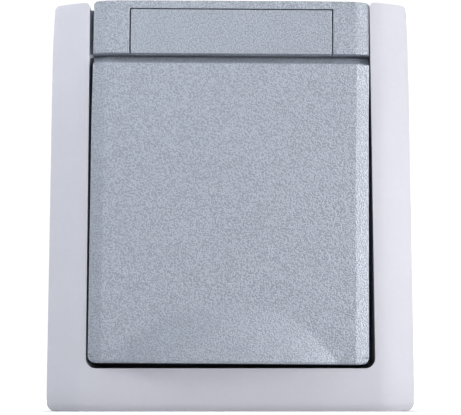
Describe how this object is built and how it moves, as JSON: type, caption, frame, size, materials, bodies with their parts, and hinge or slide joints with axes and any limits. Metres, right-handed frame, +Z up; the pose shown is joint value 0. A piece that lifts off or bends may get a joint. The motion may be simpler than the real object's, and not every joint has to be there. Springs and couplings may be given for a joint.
{
  "type": "surface-mounted power socket enclosure",
  "caption": "Surface-mounted damp-room power socket: light plastic housing with a darker grained spring-closed lid, finger lip and blank label plate.",
  "frame": {"origin": "centre of the back face, on the wall plane", "axes": "+X to the right seen from the front, +Y into the wall, +Z up; the lid faces -Y"},
  "size_m": [0.0756, 0.0603, 0.0864],
  "materials": {
    "light_plastic": "satin moulded, light lavender grey",
    "grey_plastic": "finely grained, blue grey",
    "insert_plastic": "smooth moulded, light grey",
    "dark_plastic": "matt moulded, near black",
    "rubber": "soft matt, black",
    "steel": "zinc plated",
    "brass": "plain stamped"
  },
  "bodies": {
    "housing": {"back_box": "light_plastic", "front_cover": "light_plastic", "housing_seal": "rubber", "hinge_pin_left": "steel", "hinge_pin_right": "steel", "lid_spring": "steel", "lid_seal": "rubber", "plug_well": "insert_plastic", "well_seal": "rubber", "contact_carrier": "dark_plastic", "contact_left": "brass", "contact_right": "brass", "earth_strap": "steel", "shutter_spring": "steel", "terminal_screw_left": "steel", "terminal_screw_right": "steel", "terminal_screw_earth": "steel", "well_screw": "steel", "carrier_screw_left": "steel", "carrier_screw_right": "steel", "cover_screw_upper_left": "steel", "cover_screw_upper_right": "steel", "cover_screw_lower_left": "steel", "cover_screw_lower_right": "steel", "grommet_top": "rubber", "grommet_bottom": "rubber"},
    "lid_group": {"lid": "grey_plastic", "label_plate": "grey_plastic"},
    "shutter_group": {"shutter": "dark_plastic"}
  },
  "joints": [
    {"name": "lid_hinge", "type": "hinge", "parent": "housing", "child": "lid_group", "pos_m": [0, -0.0511, 0.0375], "axis": [-1, 0, 0], "range_deg": [0, 110], "stiffness_Nm_per_rad": 0.02, "springref_deg": -20.05, "deforming": ["lid_spring"]},
    {"name": "shutter_turn", "type": "hinge", "parent": "housing", "child": "shutter_group", "pos_m": [0, -0.0266, -0.003], "axis": [0, -1, 0], "range_deg": [0, 35], "deforming": ["shutter_spring"]}
  ]
}
